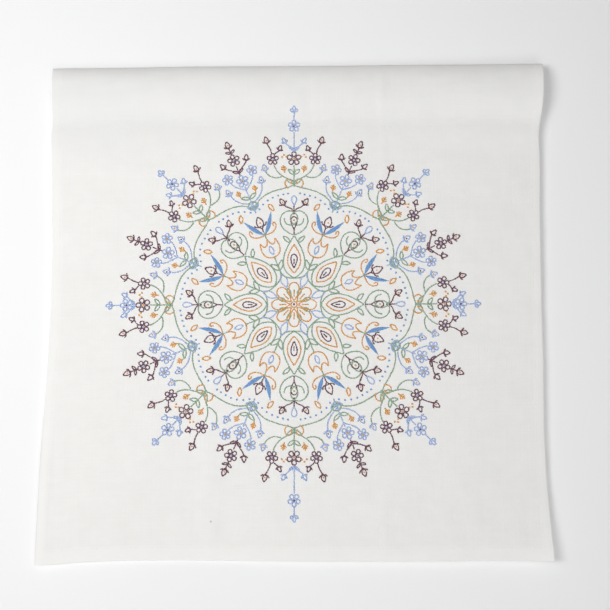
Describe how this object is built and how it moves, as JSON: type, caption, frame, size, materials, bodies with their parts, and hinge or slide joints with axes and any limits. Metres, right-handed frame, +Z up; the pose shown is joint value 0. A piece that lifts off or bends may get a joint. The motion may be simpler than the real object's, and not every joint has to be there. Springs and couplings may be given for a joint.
{
  "type": "embroidered wall hanging",
  "caption": "Square linen cloth with an embroidered medallion, hemmed at its sides and lower edge, with an open rod pocket sewn along its top.",
  "frame": {"origin": "middle of the inside of the rod pocket's top fold, where a rod bears", "axes": "+X along the pocket to the right as the front is seen, +Y from the embroidered front to the back, +Z up"},
  "size_m": [0.5096, 0.018, 0.5079],
  "materials": {
    "linen": "bleached linen, plain weave, matte",
    "thread_orange": "stranded cotton, soft sheen",
    "thread_green": "stranded cotton, soft sheen",
    "thread_sky": "stranded cotton, soft sheen",
    "thread_blue": "stranded cotton, soft sheen",
    "thread_plum": "stranded cotton, soft sheen"
  },
  "bodies": {
    "root": {"hanging_cloth": "linen"}
  },
  "joints": []
}
